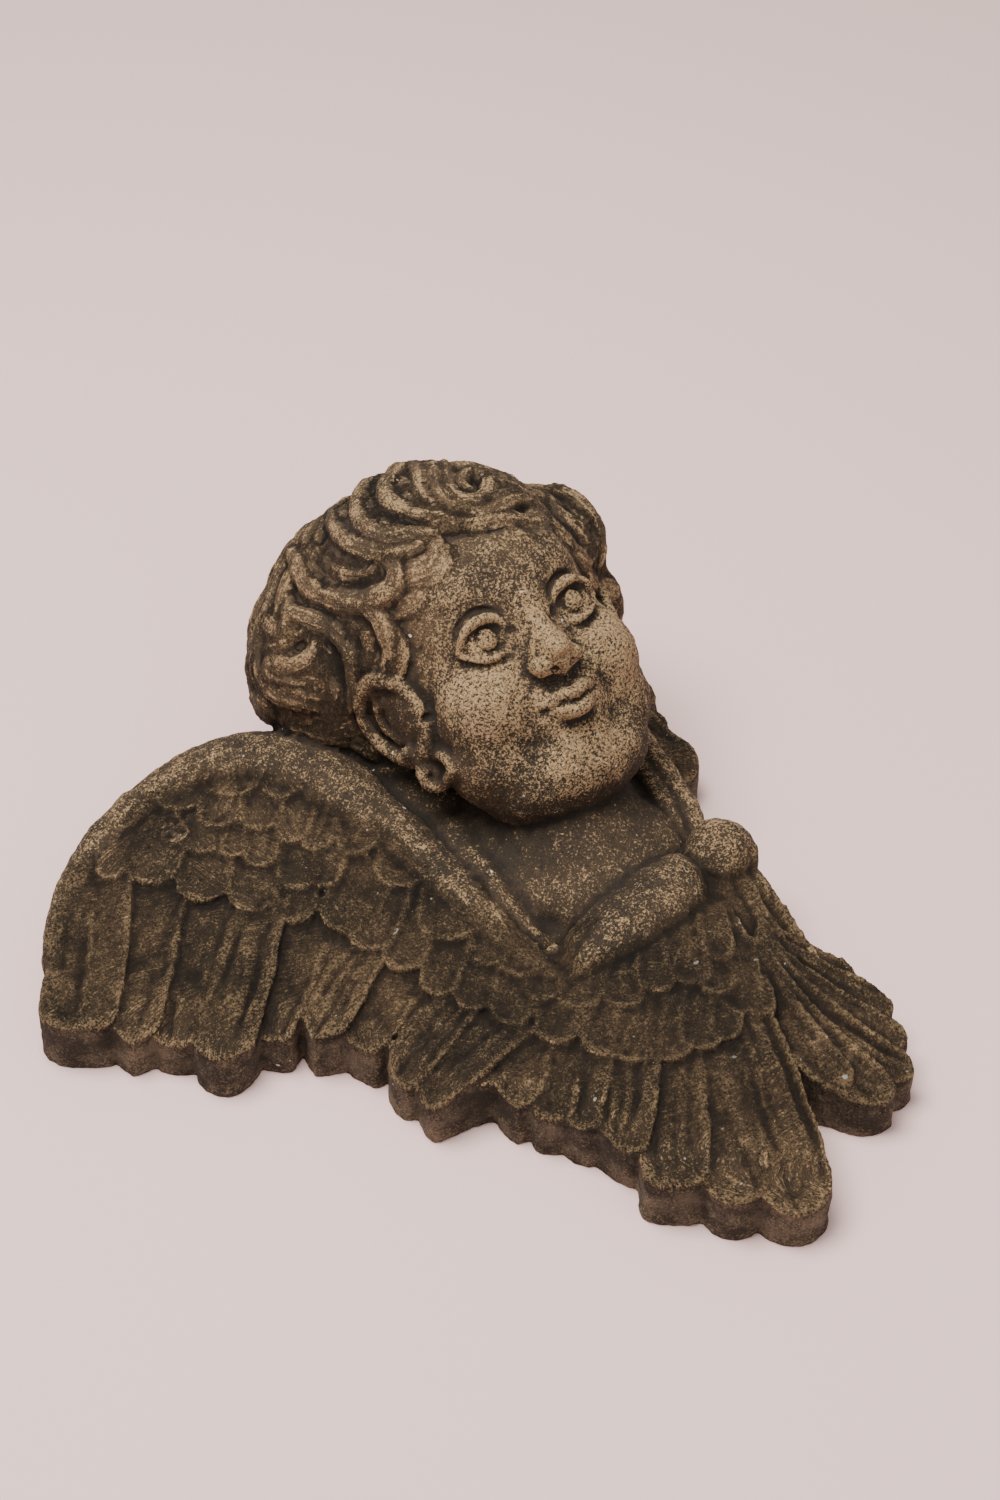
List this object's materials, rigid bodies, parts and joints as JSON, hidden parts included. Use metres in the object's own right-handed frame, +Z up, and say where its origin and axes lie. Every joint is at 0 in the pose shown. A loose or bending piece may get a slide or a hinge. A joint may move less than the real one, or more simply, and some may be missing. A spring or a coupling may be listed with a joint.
{
  "type": "cherub wall plaque",
  "caption": "Cast stone wall plaque of a child's head with curly hair, looking out between feathered wings, flat at the back for hanging on a wall.",
  "frame": {"origin": "on the flat back face, behind the head, at the middle of the wall contact used for hanging", "axes": "+Z up the wall, +Y into the wall (the back face's outward normal), -Y out into the room, +X to the viewer's right"},
  "size_m": [0.3421, 0.1704, 0.4088],
  "materials": {
    "weathered_stone": "matt, weathered, dark grey-brown with sandy worn tops"
  },
  "bodies": {
    "root": {"cherub_plaque": "weathered_stone"}
  },
  "joints": []
}
